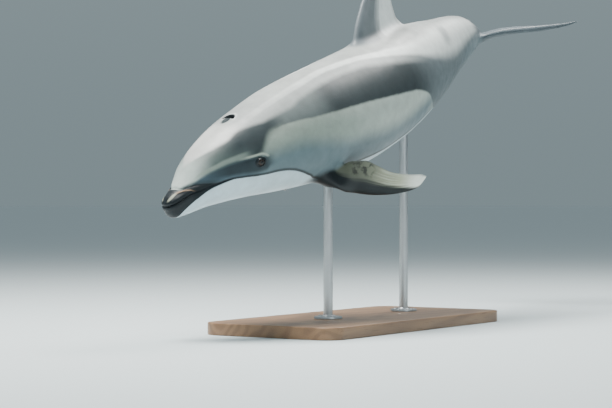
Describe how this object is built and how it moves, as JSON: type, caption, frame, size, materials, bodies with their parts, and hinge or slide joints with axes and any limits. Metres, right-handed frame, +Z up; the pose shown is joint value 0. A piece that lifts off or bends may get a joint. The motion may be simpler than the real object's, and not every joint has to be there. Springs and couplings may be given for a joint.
{
  "type": "pacific white-sided dolphin model",
  "caption": "Life-size still model of a Pacific white-sided dolphin, diving with its head and tail turned to its right, held up by rods on a flat wooden base.",
  "frame": {"origin": "on the floor, at the middle of the base's underside, straight below the middle of the trunk", "axes": "+Z up, the head points towards -Y, the animal's left side towards +X"},
  "size_m": [0.8156, 2.0953, 1.1869],
  "materials": {
    "skin_grey": "painted skin, grey back and flank fading to a white belly, wet sheen",
    "skin_dark": "painted skin, near-black with paler zones, wet sheen",
    "lips_black": "painted skin, near-black lips, wet sheen",
    "eye": "glossy dark eye",
    "base_wood": "satin varnished board",
    "rod_steel": "brushed"
  },
  "bodies": {
    "root": {"upper_beak": "lips_black", "lower_jaw": "lips_black", "melon": "skin_grey", "head": "skin_grey", "neck": "skin_grey", "chest": "skin_grey", "midbody": "skin_grey", "loin": "skin_grey", "tail_stock_front": "skin_grey", "tail_stock_rear": "skin_dark", "dorsal_fin": "skin_dark", "flipper_left": "skin_dark", "flipper_right": "skin_dark", "fluke_left": "skin_dark", "fluke_right": "skin_dark", "eye_left": "eye", "eye_right": "eye", "stand_base": "base_wood", "stand_rod_front": "rod_steel", "stand_rod_rear": "rod_steel", "stand_flange_front": "rod_steel", "stand_flange_rear": "rod_steel"}
  },
  "joints": []
}
